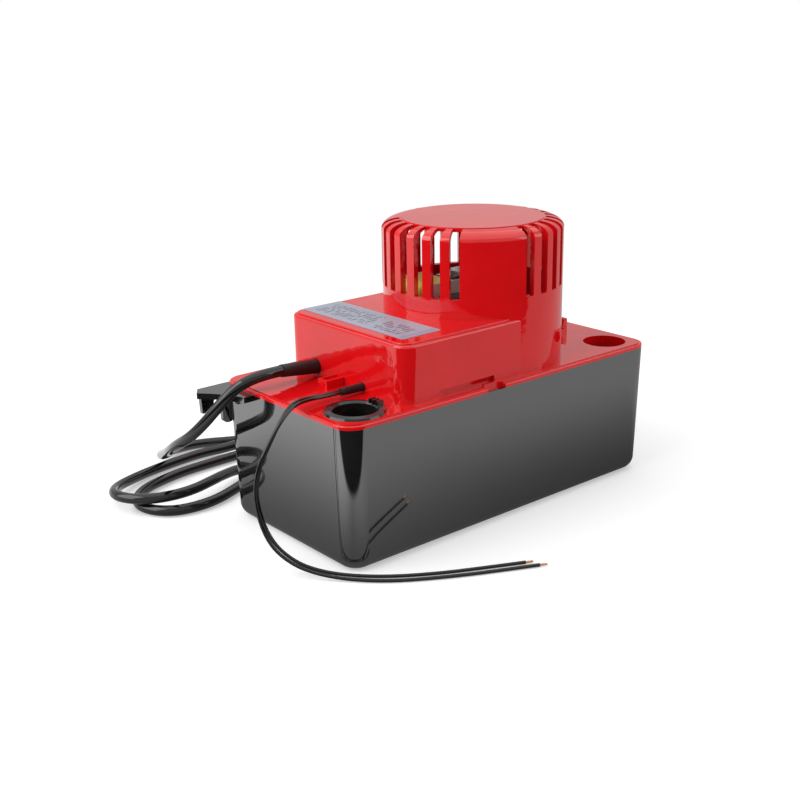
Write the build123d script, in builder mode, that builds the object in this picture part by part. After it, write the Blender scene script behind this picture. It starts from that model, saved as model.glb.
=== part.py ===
"""Condensate pump: a tank with a lid, a motor under a slotted cover, a sump pump, a float and switches.

Frame: X along the tank, Y across it with the wall side at +Y, Z up, origin on the floor under the
middle of the tank. All sizes are in millimetres.
"""
import math
import os

from build123d import *

# Tank
tank_length = 279.4
tank_width = 139.0
tank_height = 95.4
tank_wall = 2.6
tank_floor = 3.0
tank_draft = 1.95
tank_corner = 14.0
tank_foot_fillet = 10.0

# Hanging ears at the back of both ends of the tank
ear_reach = 24.1
ear_width = 37.0
ear_web = 4.0
ear_drop = 0.6
ear_plate = 3.2
ear_outer_leg = 17.0
ear_inner_leg = 27.5
ear_leg_width = 9.0
ear_slot_width = 6.4
ear_slot_height = 8.0
ear_back_length = 18.9
ear_lap = 6.0
ear_nose = 7.7
ear_bow_x = 14.0
ear_bow_y = 20.0
ear_root = 6.2
ear_leg_taper = 1.0

# Lid
lid_thickness = 3.1
lid_step = 0.6
lid_step_inset = 2.4
lid_edge_fillet = 0.8
lid_lip_depth = 6.0
lid_lip_wall = 2.0
lid_lip_gap = 0.4
rib_height = 4.0
rib_wall = 1.6
rib_gap = 0.4
catch_notch_width = 16.0
catch_notch_depth = 4.5
catch_notch_x = -16.0
catch_tab_height = 1.2

# Inlets in the front corners of the lid
inlet_radius = 15.4
inlet_end_gap = 23.7
inlet_side_gap = 23.0
inlet_skirt_depth = 10.0
inlet_skirt_wall = 1.8
bushing_wall = 1.5
bushing_flange_radius = 19.6
bushing_flange_height = 1.9
bushing_rib_count = 3
bushing_rib_pitch = 3.6
bushing_rib_length = 5.6
bushing_rib_width = 2.0
bushing_rib_rise = 2.2

# Cover over the motor and the switches
cover_wall = 2.4
cover_end_gap = 51.2
cover_half_width = 61.5
cover_box_rise = 39.0
cover_box_corner = 10.0
cover_box_step = 1.1
cover_box_step_inset = 2.6
cover_box_edge = 1.8
dome_x = 27.0
dome_radius = 63.0
dome_rise = 98.0
dome_disc_radius = 49.5
dome_disc_step = 0.5
dome_shoulder = 13.0
dome_shoulder_height = 6.5
dome_rib_depth = 4.6
dome_roof = 2.4
slot_rise = 52.5
slot_width = 6.7
slot_count = 30
slot_end_radius = 50.5
blank_slots = (9, 10, 11, 19, 20, 21)
front_notch_start = -59.0
front_notch_end = -11.0
front_notch_height = 4.4

# Snap catch that holds the cover's tongue at the +X end
tongue_end_gap = 25.7
tongue_width = 22.0
tongue_thickness = 2.6
catch_post_width = 17.0
catch_post_wall = 3.0
catch_post_height = 10.0
catch_hook = 2.0
catch_gap = 0.3

# Name plate place on the box part of the cover
plate_setback = 26.0
plate_y = 4.5
plate_width = 32.0
plate_length = 107.0
plate_thickness = 0.4

# Motor: laminated C-frame with one coil, shaft upright
stack_rise = 27.5
stack_height = 24.0
stack_start_x = -20.0
stack_end_x = 50.0
stack_half_width = 30.0
stack_corner = 3.0
stator_bore = 13.4
air_gap = 0.4
core_leg_width = 14.0
coil_window = 9.0
coil_half_length = 18.0
shading_slot_width = 2.4
shading_slot_length = 8.0
bobbin_wall = 1.2
bobbin_gap = 0.2
winding_depth = 6.6
shaft_radius = 2.5
shaft_bottom = 13.2
shaft_stand = 11.5
end_ring_height = 2.6
end_ring_radius = 12.0
bearing_gap = 0.04
seat_gap = 0.02
bearing_radius = 5.5
bearing_height = 6.0
bearing_stand_up = 2.6
bearing_stand_down = 0.6
bearing_chamfer = 0.6
bracket_sheet = 1.6
bracket_width = 17.0
bracket_rise = 7.0
motor_screw_y = 24.0
motor_screw_radius = 2.0
motor_screw_head = 3.6
motor_screw_head_height = 2.4
motor_screw_tip = 1.5
post_screw_length = 11.0
post_hole_depth = 12.0
spacer_radius = 4.4
post_y = 42.0
post_radius = 5.0
post_screw_radius = 1.9

# Fan below the motor
fan_radius = 29.0
fan_hub_radius = 7.0
fan_plate = 1.6
fan_height = 11.0
fan_rise = 3.5
fan_blade_count = 7
fan_blade_wall = 1.4
fan_blade_angle = 12.0

# Sump pump under the lid
column_outer = 12.0
column_inner = 9.5
column_flange = 21.0
column_flange_height = 3.0
column_window_height = 12.0
column_window_width = 8.0
shaft_hole_radius = 4.0
volute_radius = 28.0
volute_chamber = 23.5
volute_bottom = 10.0
volute_top = 26.0
volute_roof = 3.0
outlet_radius = 4.7
outlet_bore = 3.2
outlet_y = 19.0
outlet_reach = 42.0
plate_height = 3.0
eye_radius = 7.0
foot_count = 8
foot_width = 5.0
foot_inset = 6.0
foot_gap = 0.3
impeller_radius = 21.0
impeller_plate = 2.0
impeller_height = 8.0
impeller_vane_count = 6
impeller_vane_wall = 1.6
impeller_clearance = 1.0
impeller_hub = 5.0
impeller_vane_angle = 25.0
pump_screw_radius = 1.6
pump_screw_head = 2.9
pump_screw_head_height = 1.8
pump_screw_grip = 0.05
column_screw_reach = 2.0
volute_screw_reach = 4.0
column_window_drop = 4.0
column_window_rise = 8.0
column_screw_circle = 17.0
volute_screw_circle = 25.6
slinger_radius = 8.0
slinger_height = 3.0
slinger_drop = 11.5
slinger_neck_radius = 4.0
slinger_rim = 1.0
slinger_web = 1.4

# Discharge: hose, check valve and barb at the back of the +X end
valve_end_gap = 23.7
valve_side_gap = 22.5
hose_outer = 6.5
hose_inner = 4.8
hose_fit = 9.0
hose_run = 26.0
hose_rise = 16.0
hose_bend_low = 20.0
hose_bend_high = 16.0
valve_body_radius = 10.0
valve_flange_radius = 13.0
valve_flange_height = 5.0
valve_seat_radius = 4.0
valve_chamber = 7.6
valve_spigot_length = 12.0
valve_below_lid = 12.0
valve_above_lid = 13.0
valve_nut_height = 5.0
gasket_height = 1.4
barb_radius = 4.76
barb_bore = 3.2
barb_length = 24.0
barb_tooth = 0.8
barb_flange_radius = 10.5
barb_flange_height = 4.0
barb_plug_depth = 5.0
barb_pitch = 4.0
barb_count = 3
poppet_radius = 6.4
poppet_height = 2.4
poppet_stem_radius = 1.3
poppet_stem_length = 5.0

# Float, rocker and switches in the box part of the cover
rod_setback = 18.5
rod_y = -41.0
rod_radius = 2.0
rod_guide_radius = 5.0
rod_guide_depth = 12.0
rod_gap = 0.1
float_length = 66.0
float_width = 60.0
float_height = 22.0
float_bottom = 10.0
float_y = -20.0
float_fillet = 5.0
lever_arm = 48.0
lever_swing = 12.0
lever_width = 3.0
lever_thickness = 3.0
lever_paddle_length = 16.0
lever_paddle_width = 26.0
lever_hub_radius = 3.6
lever_eye_length = 8.4
lever_eye_width = 5.6
lever_eye_slack = 0.5
lever_eye_slot = 1.6
paddle_shift = 3.0
pivot_rise = 15.0
pivot_pin_radius = 1.5
rod_pin_radius = 1.3
fork_gap = 0.5
fork_wall = 1.8
fork_height = 6.0
fork_stand = 0.4
fork_floor_height = 1.1
rod_washer = 2.0
switch_width = 9.0
switch_height = 13.0
switch_rise = 23.0
button_reach = 17.95
switch_spacing = 12.0
button_radius = 1.2
button_stand = 2.2
button_gap = 0.05
bracket_plate = 1.6
cheek_gap = 0.6
cheek_front = 4.0
cheek_back = 9.0
cheek_rise = 4.0
shelf_x = 8.0
switch_nose = 10.0
button_bore_depth = 5.0
button_depth = 3.0
pin_stand = 0.4

# Strain relief and clamp at the cable entry
relief_inner_radius = 5.2
relief_outer_radius = 4.3
entry_inside = 4.5
relief_reach = 29.5
relief_start_y = 30.7
relief_start_rise = 5.9
relief_end_y = 29.3
relief_end_rise = 9.4
relief_hole_gap = 0.15
clamp_length = 14.5
clamp_width = 10.0
clamp_height = 5.5
clamp_y = 4.8
clamp_recess = 1.4
clamp_rim = 1.5
sleeve_inner_radius = 2.9
sleeve_outer_radius = 2.6
sleeve_reach = 17.5
sleeve_start_y = -19.6
sleeve_start_rise = 3.4
sleeve_end_y = -19.2
sleeve_end_rise = 3.7

# Power cord: route from the strain relief to the hank behind the tank
cord_radius = 3.8
hank_height = 15.6
hank_start_x = -160.0
hank_end_x = 36.0
hank_y = 127.3
hank_radius = 41.0
hank_hole_start = -146.0
hank_hole_end = 32.0
hank_hole_radius = 21.5
tie_x = -8.0
tie_width = 9.0
tie_wall = 1.3
tie_gap = 0.3

# Plug at the end of the cord
plug_y = 138.0
plug_height = 20.0
plug_width = 26.0
plug_length = 30.0
plug_front_x = 136.0
plug_fillet = 4.0
plug_collar_end_x = 74.0
plug_collar_radius = 4.4
plug_collar_inner_radius = 6.5
plug_taper_width = 8.0
plug_taper_height = 5.0
plug_collar_drop = 1.5
blade_drop = 2.0
blade_length = 17.0
blade_width = 6.3
blade_thickness = 1.5
blade_spacing = 12.7
ground_radius = 2.4
ground_length = 20.0
ground_offset = 8.2

# Twin leads from the safety switch
lead_radius = 1.15
strip_length = 5.0
strip_radius = 0.7

# Values worked out from the sizes above
lid_top = tank_height + lid_thickness
half_length = tank_length / 2
half_width = tank_width / 2
inlet_x = half_length - inlet_end_gap
inlet_y = inlet_side_gap - half_width
cover_end_x = cover_end_gap - half_length
cover_box_top = lid_top + cover_box_rise
dome_top = lid_top + dome_rise
slot_bottom = lid_top + slot_rise
slot_pitch = 360 / slot_count
tongue_end_x = half_length - tongue_end_gap
plate_x = cover_end_x + plate_setback
stack_bottom = lid_top + stack_rise
stack_top = stack_bottom + stack_height
stack_middle = stack_bottom + stack_height / 2
shaft_top = stack_top + shaft_stand
core_leg_x = stack_start_x + core_leg_width / 2
window_start = stack_start_x + core_leg_width
rotor_radius = stator_bore - air_gap
strap_top = stack_bottom - bracket_rise
post_top = strap_top - bracket_sheet
upper_plate_top = stack_top + bracket_rise
fan_bottom = lid_top + fan_rise
slinger_z = lid_top - slinger_drop
bushing_sleeve_radius = inlet_radius - 0.1
valve_x = half_length - valve_end_gap
valve_y = half_width - valve_side_gap
rod_x = cover_end_x + rod_setback
pivot_height = lid_top + pivot_rise
pivot_x = rod_x + lever_arm * math.cos(math.radians(lever_swing))
rod_pin_z = pivot_height - lever_arm * math.sin(math.radians(lever_swing))
switch_bottom = lid_top + switch_rise
switch_x = pivot_x - button_reach
relief_start = (cover_end_x + entry_inside, relief_start_y, lid_top + relief_start_rise)
relief_end = (cover_end_x - relief_reach, relief_end_y, lid_top + relief_end_rise)
sleeve_start = (cover_end_x + entry_inside, sleeve_start_y, lid_top + sleeve_start_rise)
sleeve_end = (cover_end_x - sleeve_reach, sleeve_end_y, lid_top + sleeve_end_rise)

# Routes of the power cord, from the strain relief to the hank, and of the twin leads
cord_route = [
    relief_end,
    (cover_end_x - 43.5, 28.72, lid_top + 10.84),
    (-157.0, 29.6, lid_top + 5.5),
    (-174.0, 37.5, 87.0),
    (-177.0, 57.5, 68.0),
    (-166.5, 85.0, 54.0),
    (-155.0, 114.0, 39.0),
    (-148.5, 142.0, 25.5),
    (-144.5, 168.0, 14.5),
    (-131.0, 191.0, 6.0),
    (-107.0, 202.0, 4.0),
    (-80.0, 197.0, 4.0),
    (-56.0, 180.0, 4.0),
    (-38.0, 165.0, 4.0),
]
lead_a_route = [
    (cover_end_x - 17.55, -20.6, lid_top + 3.7),
    (-119.0, -20.36, lid_top + 3.88),
    (-132.0, -20.8, lid_top + 4.9),
    (-148.0, -26.4, lid_top + 5.9),
    (-161.0, -30.8, 97.7),
    (-171.0, -31.1, 85.4),
    (-177.0, -28.4, 71.5),
    (-179.0, -25.8, 55.7),
    (-178.0, -27.6, 37.9),
    (-174.0, -31.3, 22.5),
    (-168.0, -36.8, 12.4),
    (-160.0, -47.7, 5.2),
    (-146.5, -66.0, 1.6),
    (-126.0, -88.0, 1.25),
    (-98.0, -106.0, 1.3),
    (-68.0, -121.5, 1.25),
    (-41.0, -134.0, 1.3),
]
lead_b_route = [
    (cover_end_x - 17.55, -17.8, lid_top + 3.7),
    (-118.0, -17.58, lid_top + 3.86),
    (-130.5, -17.4, lid_top + 4.9),
    (-145.5, -21.9, lid_top + 6.2),
    (-157.5, -27.0, 98.0),
    (-167.0, -27.6, 84.6),
    (-172.5, -23.1, 69.7),
    (-174.5, -20.8, 53.8),
    (-173.5, -23.3, 36.4),
    (-169.8, -28.2, 21.7),
    (-164.0, -34.5, 11.9),
    (-156.0, -45.0, 4.8),
    (-143.0, -62.0, 1.6),
    (-123.0, -82.5, 1.25),
    (-96.0, -100.5, 1.3),
    (-69.0, -114.0, 1.25),
    (-45.0, -125.5, 1.3),
]

os.makedirs("parts", exist_ok=True)


def write(part, name):
    """Label a finished piece and write it to its own file."""
    part.label = name
    export_step(part, f"parts/{name}.step")


def tank_level(z):
    """How far the drafted tank side stands in from its top edge at a height."""
    return tank_draft * (1 - z / tank_height)


def box_outline(inset):
    """Plan of the cover's box, with two rounded corners and its far end inside the dome."""
    start = cover_end_x + inset
    with BuildSketch(mode=Mode.PRIVATE) as outline:
        with Locations(((start + dome_x) / 2, 0)):
            Rectangle(dome_x - start, 2 * (cover_half_width - inset))
        fillet(outline.vertices().group_by(Axis.X)[0], cover_box_corner - inset)
    return outline.sketch


def cover_outline(inset):
    """Plan of the whole cover: the box run into the round of the dome."""
    with BuildSketch(mode=Mode.PRIVATE) as outline:
        add(box_outline(inset))
        with Locations((dome_x, 0)):
            Circle(dome_radius - inset)
    return outline.sketch


def dome_profile(radius, disc_radius, shoulder_height, top):
    """Half section of the round dome, from the box top up, as a closed face beside its axis."""
    shoulder = radius - disc_radius
    with BuildSketch(Plane.XZ, mode=Mode.PRIVATE) as profile:
        with BuildLine():
            Polyline((dome_x, top), (dome_x, lid_top), (dome_x + radius, lid_top),
                     (dome_x + radius, top - shoulder_height))
            EllipticalCenterArc((dome_x + disc_radius, top - shoulder_height),
                                shoulder, shoulder_height, start_angle=0, arc_size=90)
            Line((dome_x + disc_radius, top), (dome_x, top))
        make_face()
    return profile.sketch


def cord_path(points):
    """Straight runs through the points, joined by arcs as large as the shorter run allows."""
    radii = []
    for before, here, after in zip(points, points[1:], points[2:]):
        run_in = Vector(here) - Vector(before)
        run_out = Vector(after) - Vector(here)
        half_turn = math.radians(run_in.get_angle(run_out)) / 2
        radii.append(0.45 * min(run_in.length, run_out.length) / math.tan(half_turn))
    return radii


def print_route(name, points, radius, volume):
    """Print a cord's radii and compare its volume with section times length."""
    with BuildLine() as line:
        FilletPolyline(*points, radius=cord_path(points))
    length = line.wires()[0].length
    section = math.pi * radius ** 2
    print(name, "length", round(length, 1), "volume ratio", round(volume / (section * length), 4))
    print("  radii in diameters", [round(r / (2 * radius), 1) for r in cord_path(points)])


# Tank with its hanging ears
with BuildPart() as tank_cavity:
    for z in (tank_floor, tank_height):
        with BuildSketch(Plane.XY.offset(z)):
            inset = tank_wall + tank_level(z)
            RectangleRounded(tank_length - 2 * inset, tank_width - 2 * inset, tank_corner - tank_wall)
    loft()
    fillet(tank_cavity.edges().group_by(Axis.Z)[0], tank_foot_fillet - tank_wall)

with BuildPart() as tank_outside:
    for z in (0, tank_height):
        with BuildSketch(Plane.XY.offset(z)):
            inset = tank_level(z)
            RectangleRounded(tank_length - 2 * inset, tank_width - 2 * inset, tank_corner)
    loft()
    fillet(tank_outside.edges().group_by(Axis.Z)[0], tank_foot_fillet)

with BuildPart() as tank:
    add(tank_outside.part)
    add(tank_cavity.part, mode=Mode.SUBTRACT)
write(tank.part, "tank")

# Ears: a web out from the tank's rim, and a back plate with a slot between two legs
ear_top = tank_height - ear_drop
ear_end = half_length + ear_reach
ear_back_end = half_length + ear_back_length
ear_front = half_width - ear_width
with BuildPart() as tank_ear:
    with BuildSketch(Plane.XY.offset(ear_top)):
        with BuildLine():
            Polyline((half_length - ear_lap, half_width), (ear_back_end, half_width),
                     (ear_end, half_width - ear_nose))
            ThreePointArc((ear_end, half_width - ear_nose),
                          (half_length + ear_bow_x, half_width - ear_bow_y),
                          (half_length + ear_root, ear_front))
            Polyline((half_length + ear_root, ear_front), (half_length - ear_lap / 2, ear_front),
                     (half_length - ear_lap, half_width))
        make_face()
    extrude(amount=-ear_web)
    with BuildSketch(Plane.XZ.offset(-half_width)) as ear_back_plan:
        leg_1_start = ear_back_end - ear_leg_width - ear_leg_taper
        leg_2_end = leg_1_start - ear_slot_width
        with BuildLine():
            Polyline((leg_2_end - ear_leg_width, ear_top), (ear_back_end, ear_top),
                     (ear_back_end - ear_leg_taper, ear_top - ear_outer_leg),
                     (leg_1_start, ear_top - ear_outer_leg),
                     (leg_1_start, ear_top - ear_slot_height), (leg_2_end, ear_top - ear_slot_height),
                     (leg_2_end, ear_top - ear_inner_leg),
                     (leg_2_end - ear_leg_width, ear_top - ear_inner_leg), close=True)
        make_face()
        low = ear_back_plan.vertices().group_by(Axis.Y)[0]
        fillet(low, ear_leg_width / 2 - ear_leg_taper / 2)
        roof = ear_back_plan.vertices().filter_by(
            lambda v: abs(v.Y - (ear_top - ear_slot_height)) < 0.01)
        fillet(roof, 0.45 * ear_slot_width)
    extrude(amount=ear_plate)
    add(tank_outside.part, mode=Mode.SUBTRACT)
write(tank_ear.part, "tank_ear_far")
write(mirror(tank_ear.part, about=Plane.YZ), "tank_ear_near")

# Lid with inlets, locating rib, motor posts, rod guide and the cover's catch
with BuildPart() as tank_lid:
    with BuildSketch(Plane.XY.offset(tank_height)):
        RectangleRounded(tank_length, tank_width, tank_corner)
    extrude(amount=lid_thickness - lid_step)
    fillet(tank_lid.edges().group_by(Axis.Z)[-1], lid_edge_fillet)
    with BuildSketch(Plane.XY.offset(lid_top - lid_step)):
        RectangleRounded(tank_length - 2 * lid_step_inset, tank_width - 2 * lid_step_inset,
                         tank_corner - lid_step_inset)
    extrude(amount=lid_step)
    with BuildSketch(Plane.XY.offset(tank_height)):
        lip_inset = tank_wall + lid_lip_gap
        RectangleRounded(tank_length - 2 * lip_inset, tank_width - 2 * lip_inset,
                         tank_corner - lip_inset)
        RectangleRounded(tank_length - 2 * (lip_inset + lid_lip_wall),
                         tank_width - 2 * (lip_inset + lid_lip_wall),
                         tank_corner - lip_inset - lid_lip_wall, mode=Mode.SUBTRACT)
    extrude(amount=-lid_lip_depth)
    # Skirts of the inlets, the rod guide and the neck for the check valve
    with BuildSketch(Plane.XY.offset(tank_height)):
        with Locations((inlet_x, inlet_y), (-inlet_x, inlet_y)):
            Circle(inlet_radius + inlet_skirt_wall)
        with Locations((rod_x, rod_y)):
            Circle(rod_guide_radius)
    extrude(amount=-inlet_skirt_depth)
    # Locating rib inside the foot of the cover, open where the cables pass
    with BuildSketch(Plane.XY.offset(lid_top)):
        add(cover_outline(cover_wall + rib_gap))
        add(cover_outline(cover_wall + rib_gap + rib_wall), mode=Mode.SUBTRACT)
        with Locations((cover_end_x, 0)):
            Rectangle(4 * cover_box_corner, 2 * cover_half_width - 2 * cover_box_corner,
                      mode=Mode.SUBTRACT)
    extrude(amount=rib_height)
    # Posts that carry the motor
    with BuildSketch(Plane.XY.offset(lid_top)):
        with Locations((dome_x, post_y), (dome_x, -post_y)):
            Circle(post_radius)
    extrude(amount=post_top - lid_top)
    # Catch post with its hook over the cover's tongue
    with BuildSketch(Plane.XZ.offset(-catch_post_width / 2)):
        hook_z = lid_top + tongue_thickness + catch_gap
        post_x = tongue_end_x + catch_gap
        with BuildLine():
            Polyline((post_x, lid_top - lid_step), (post_x, hook_z), (post_x - catch_hook, hook_z),
                     (post_x, lid_top + catch_post_height), (post_x + catch_post_wall,
                     lid_top + catch_post_height), (post_x + catch_post_wall, lid_top - lid_step),
                     close=True)
        make_face()
    extrude(amount=catch_post_width)
    # Holes
    with Locations((inlet_x, inlet_y, lid_top), (-inlet_x, inlet_y, lid_top)):
        Hole(inlet_radius, depth=lid_thickness + inlet_skirt_depth)
    with Locations((rod_x, rod_y, lid_top)):
        Hole(rod_radius + rod_gap, depth=lid_thickness + rod_guide_depth)
    with Locations((dome_x, 0, lid_top)):
        Hole(shaft_hole_radius, depth=lid_thickness)
    with Locations((valve_x, valve_y, lid_top)):
        Hole(valve_body_radius + 0.1, depth=lid_thickness)
    with BuildSketch(Plane.XY.offset(lid_top)):
        with Locations((dome_x, 0)):
            with PolarLocations(column_screw_circle, 3, start_angle=90):
                Circle(pump_screw_radius)
    extrude(amount=-lid_thickness, mode=Mode.SUBTRACT)
    with Locations((dome_x, post_y, post_top), (dome_x, -post_y, post_top)):
        Hole(post_screw_radius, depth=post_hole_depth)
    # Notches in the long edges where the tank's catches are reached
    with BuildSketch(Plane.XY.offset(tank_height)):
        for side in (1, -1):
            with Locations((catch_notch_x, side * (half_width - catch_notch_depth / 2))):
                Rectangle(catch_notch_width, catch_notch_depth)
    extrude(amount=lid_thickness, mode=Mode.SUBTRACT)
    with BuildSketch(Plane.XY.offset(lid_top)):
        for side in (1, -1):
            with Locations((catch_notch_x, side * (half_width - catch_notch_depth - 1))):
                Rectangle(catch_notch_width - 1, 2)
    extrude(amount=catch_tab_height)
write(tank_lid.part, "tank_lid")

# Rubber bushing in the inlet beside the cable entry, with a ribbed grip tab
with BuildPart() as inlet_bushing:
    with BuildSketch(Plane.XZ) as bushing_section:
        inner = bushing_sleeve_radius - bushing_wall
        with BuildLine():
            Polyline((inner, lid_top - inlet_skirt_depth), (bushing_sleeve_radius,
                     lid_top - inlet_skirt_depth), (bushing_sleeve_radius, lid_top),
                     (bushing_flange_radius, lid_top),
                     (bushing_flange_radius - 0.7, lid_top + bushing_flange_height * 0.7),
                     (inner + 1.6, lid_top + bushing_flange_height), (inner, lid_top + 0.6), close=True)
        make_face()
    revolve(axis=Axis.Z)
    with BuildSketch(Plane.XY.offset(lid_top)):
        for rib in range(bushing_rib_count):
            with Locations((bushing_flange_radius - bushing_rib_length / 2,
                            (rib - 1) * bushing_rib_pitch)):
                RectangleRounded(bushing_rib_length, bushing_rib_width, 0.4 * bushing_rib_width)
    extrude(amount=bushing_flange_height + bushing_rib_rise)
bushing_piece = inlet_bushing.part.moved(Location((-inlet_x, inlet_y, 0)))
write(bushing_piece, "inlet_bushing")

# Cover: box and slotted dome in one moulding
with BuildPart() as cover_box:
    step_z = cover_box_top - cover_box_step
    with BuildSketch(Plane.XY.offset(lid_top)):
        add(box_outline(0))
    extrude(amount=step_z - lid_top)
    fillet(cover_box.edges().group_by(Axis.Z)[-1], cover_box_edge)
    with BuildSketch(Plane.XY.offset(step_z)):
        add(box_outline(cover_box_step_inset))
    extrude(amount=cover_box_step)
    fillet(cover_box.edges().group_by(Axis.Z)[-1], cover_box_step / 2)

with BuildPart() as motor_cover:
    add(dome_profile(dome_radius, dome_disc_radius, dome_shoulder_height, dome_top - dome_disc_step))
    revolve(axis=Axis((dome_x, 0, 0), (0, 0, 1)))
    with BuildSketch(Plane.XY.offset(dome_top - dome_disc_step)):
        with Locations((dome_x, 0)):
            Circle(dome_disc_radius)
    extrude(amount=dome_disc_step)
    add(cover_box.part)
    # Tongue at the +X end, under the lid's catch
    with BuildSketch(Plane.XY.offset(lid_top)):
        tongue_start = dome_x + dome_radius - cover_wall
        with Locations(((tongue_start + tongue_end_x) / 2, 0)):
            Rectangle(tongue_end_x - tongue_start, tongue_width)
    extrude(amount=tongue_thickness)
    # Hollow of the box and the dome
    with BuildSketch(Plane.XY.offset(lid_top)):
        add(box_outline(cover_wall))
    extrude(amount=cover_box_top - cover_wall - lid_top, mode=Mode.SUBTRACT)
    with BuildSketch(Plane.XY.offset(lid_top)):
        with Locations((dome_x, 0)):
            Circle(dome_radius - cover_wall)
    extrude(amount=slot_bottom - cover_wall - lid_top, mode=Mode.SUBTRACT)
    inner_radius = dome_radius - dome_rib_depth
    add(dome_profile(inner_radius, inner_radius - dome_shoulder + 2, dome_shoulder_height,
                     dome_top - dome_roof))
    revolve(axis=Axis((dome_x, 0, 0), (0, 0, 1)), mode=Mode.SUBTRACT)
    # Slots round the dome, which run over its shoulder up to the disc
    with BuildSketch(Plane.XY.offset(slot_bottom)):
        for slot in range(slot_count):
            if slot in blank_slots:
                continue
            with Locations((dome_x, 0)):
                with PolarLocations((slot_end_radius + dome_radius + 4) / 2, 1,
                                    start_angle=slot * slot_pitch):
                    Rectangle(dome_radius + 4 - slot_end_radius, slot_width)
    extrude(amount=dome_top + 2 - slot_bottom, mode=Mode.SUBTRACT)
    # Low notch in the front wall, and the holes for the cable and the leads in the end wall
    with BuildSketch(Plane.XY.offset(lid_top)):
        with Locations(((front_notch_start + front_notch_end) / 2, -cover_half_width)):
            Rectangle(front_notch_end - front_notch_start, 3 * cover_wall)
    extrude(amount=front_notch_height, mode=Mode.SUBTRACT)
    for start, end, radius in ((relief_start, relief_end, relief_inner_radius),
                               (sleeve_start, sleeve_end, sleeve_inner_radius)):
        bore = Plane(origin=start, z_dir=Vector(end) - Vector(start))
        with BuildSketch(bore):
            Circle(radius + relief_hole_gap)
        extrude(amount=12, mode=Mode.SUBTRACT)
write(motor_cover.part, "motor_cover")

with BuildPart() as name_plate:
    with BuildSketch(Plane.XY.offset(cover_box_top)):
        with Locations((plate_x, plate_y)):
            RectangleRounded(plate_width, plate_length, 1.5)
    extrude(amount=plate_thickness)
write(name_plate.part, "name_plate")

# Clamp block between the cable and the leads, against the end wall of the cover
with BuildPart() as cable_clamp:
    clamp_end = cover_end_x - 0.1
    with BuildSketch(Plane.XY.offset(lid_top)):
        with Locations((clamp_end - clamp_length / 2, clamp_y)):
            RectangleRounded(clamp_length, clamp_width, 1.0)
    extrude(amount=clamp_height)
    with BuildSketch(Plane.XY.offset(lid_top + clamp_height)):
        with Locations((clamp_end - clamp_length / 2 + clamp_rim, clamp_y)):
            RectangleRounded(clamp_length - clamp_rim, clamp_width - 2 * clamp_rim, 0.8)
    extrude(amount=-clamp_recess, mode=Mode.SUBTRACT)
write(cable_clamp.part, "cable_clamp")

# Strain relief of the power cord and sleeve of the leads, both tapered
for name, start, end, inner, outer in (
        ("cord_strain_relief", relief_start, relief_end, relief_inner_radius, relief_outer_radius),
        ("lead_sleeve", sleeve_start, sleeve_end, sleeve_inner_radius, sleeve_outer_radius)):
    along = Vector(end) - Vector(start)
    with BuildPart() as taper:
        for place, radius in ((start, inner), (end, outer)):
            with BuildSketch(Plane(origin=place, z_dir=along)):
                Circle(radius)
        loft()
    write(taper.part, name)

# Laminated core of the motor
with BuildPart() as stator_core:
    with BuildSketch(Plane.XY.offset(stack_bottom)) as lamination:
        with Locations(((stack_start_x + stack_end_x) / 2, 0)):
            RectangleRounded(stack_end_x - stack_start_x, 2 * stack_half_width, stack_corner)
        with Locations((window_start + coil_window / 2, 0)):
            Rectangle(coil_window, 2 * coil_half_length, mode=Mode.SUBTRACT)
        with Locations((dome_x, 0)):
            Circle(stator_bore, mode=Mode.SUBTRACT)
            with PolarLocations(stator_bore + shading_slot_length / 2 - 1, 4, start_angle=45):
                Rectangle(shading_slot_length, shading_slot_width, mode=Mode.SUBTRACT)
        with Locations((dome_x, motor_screw_y), (dome_x, -motor_screw_y)):
            Circle(motor_screw_radius + 0.1, mode=Mode.SUBTRACT)
    extrude(amount=stack_height)
write(stator_core.part, "stator_core")

# Bobbin round the core's free leg, and the winding on it
leg_half_x = core_leg_width / 2 + bobbin_gap
leg_half_z = stack_height / 2 + bobbin_gap
tube_half_x = leg_half_x + bobbin_wall
tube_half_z = leg_half_z + bobbin_wall
coil_half_x = tube_half_x + winding_depth
coil_half_z = tube_half_z + winding_depth
coil_end = coil_half_length - bobbin_gap
coil_plane = Plane(origin=(core_leg_x, coil_end, stack_middle), x_dir=(1, 0, 0), z_dir=(0, -1, 0))
with BuildPart() as coil_bobbin:
    with BuildSketch(coil_plane):
        RectangleRounded(2 * tube_half_x, 2 * tube_half_z, 1.5)
    extrude(amount=2 * coil_end)
    for start in (0, 2 * coil_end - bobbin_wall):
        with BuildSketch(coil_plane.offset(start)):
            RectangleRounded(2 * coil_half_x - 0.6, 2 * coil_half_z + 1.5, 3)
        extrude(amount=bobbin_wall)
    with BuildSketch(coil_plane):
        Rectangle(2 * leg_half_x, 2 * leg_half_z)
    extrude(amount=2 * coil_end, mode=Mode.SUBTRACT)
write(coil_bobbin.part, "coil_bobbin")

with BuildPart() as coil_winding:
    with BuildSketch(coil_plane.offset(bobbin_wall + 0.1)):
        RectangleRounded(2 * coil_half_x - 1.2, 2 * coil_half_z, 6)
        RectangleRounded(2 * (tube_half_x + 0.1), 2 * (tube_half_z + 0.1), 1.5, mode=Mode.SUBTRACT)
    extrude(amount=2 * (coil_end - bobbin_wall - 0.1))
write(coil_winding.part, "coil_winding")

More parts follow.
